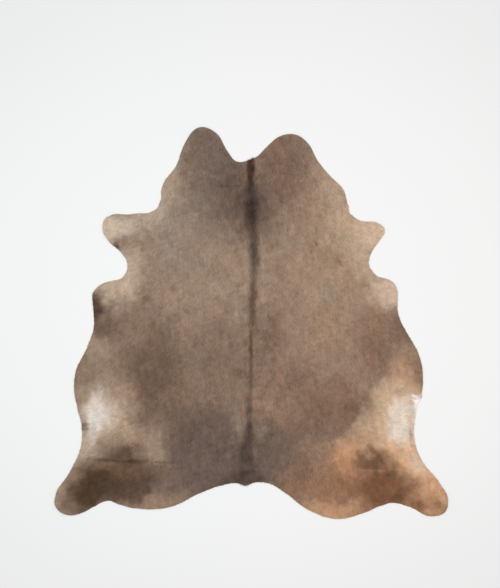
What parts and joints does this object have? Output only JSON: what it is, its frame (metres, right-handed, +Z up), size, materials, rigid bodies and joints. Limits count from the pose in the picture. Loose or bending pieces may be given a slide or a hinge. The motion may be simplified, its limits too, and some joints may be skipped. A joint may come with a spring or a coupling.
{
  "type": "cowhide rug",
  "caption": "Whole tanned cowhide with a short taupe coat and a dark line along its spine, cut round neck and legs, that lies flat as a rug.",
  "frame": {"origin": "on the floor, at the middle of the hide's length and width", "axes": "+Z up out of the hair side, +Y from the tail to the neck, +X to the right seen from above with the neck away"},
  "size_m": [1.9568, 1.9501, 0.0087],
  "materials": {
    "hide": "short smooth hair, taupe grey-brown, on tanned leather"
  },
  "bodies": {
    "root": {"hide": "hide"}
  },
  "joints": []
}
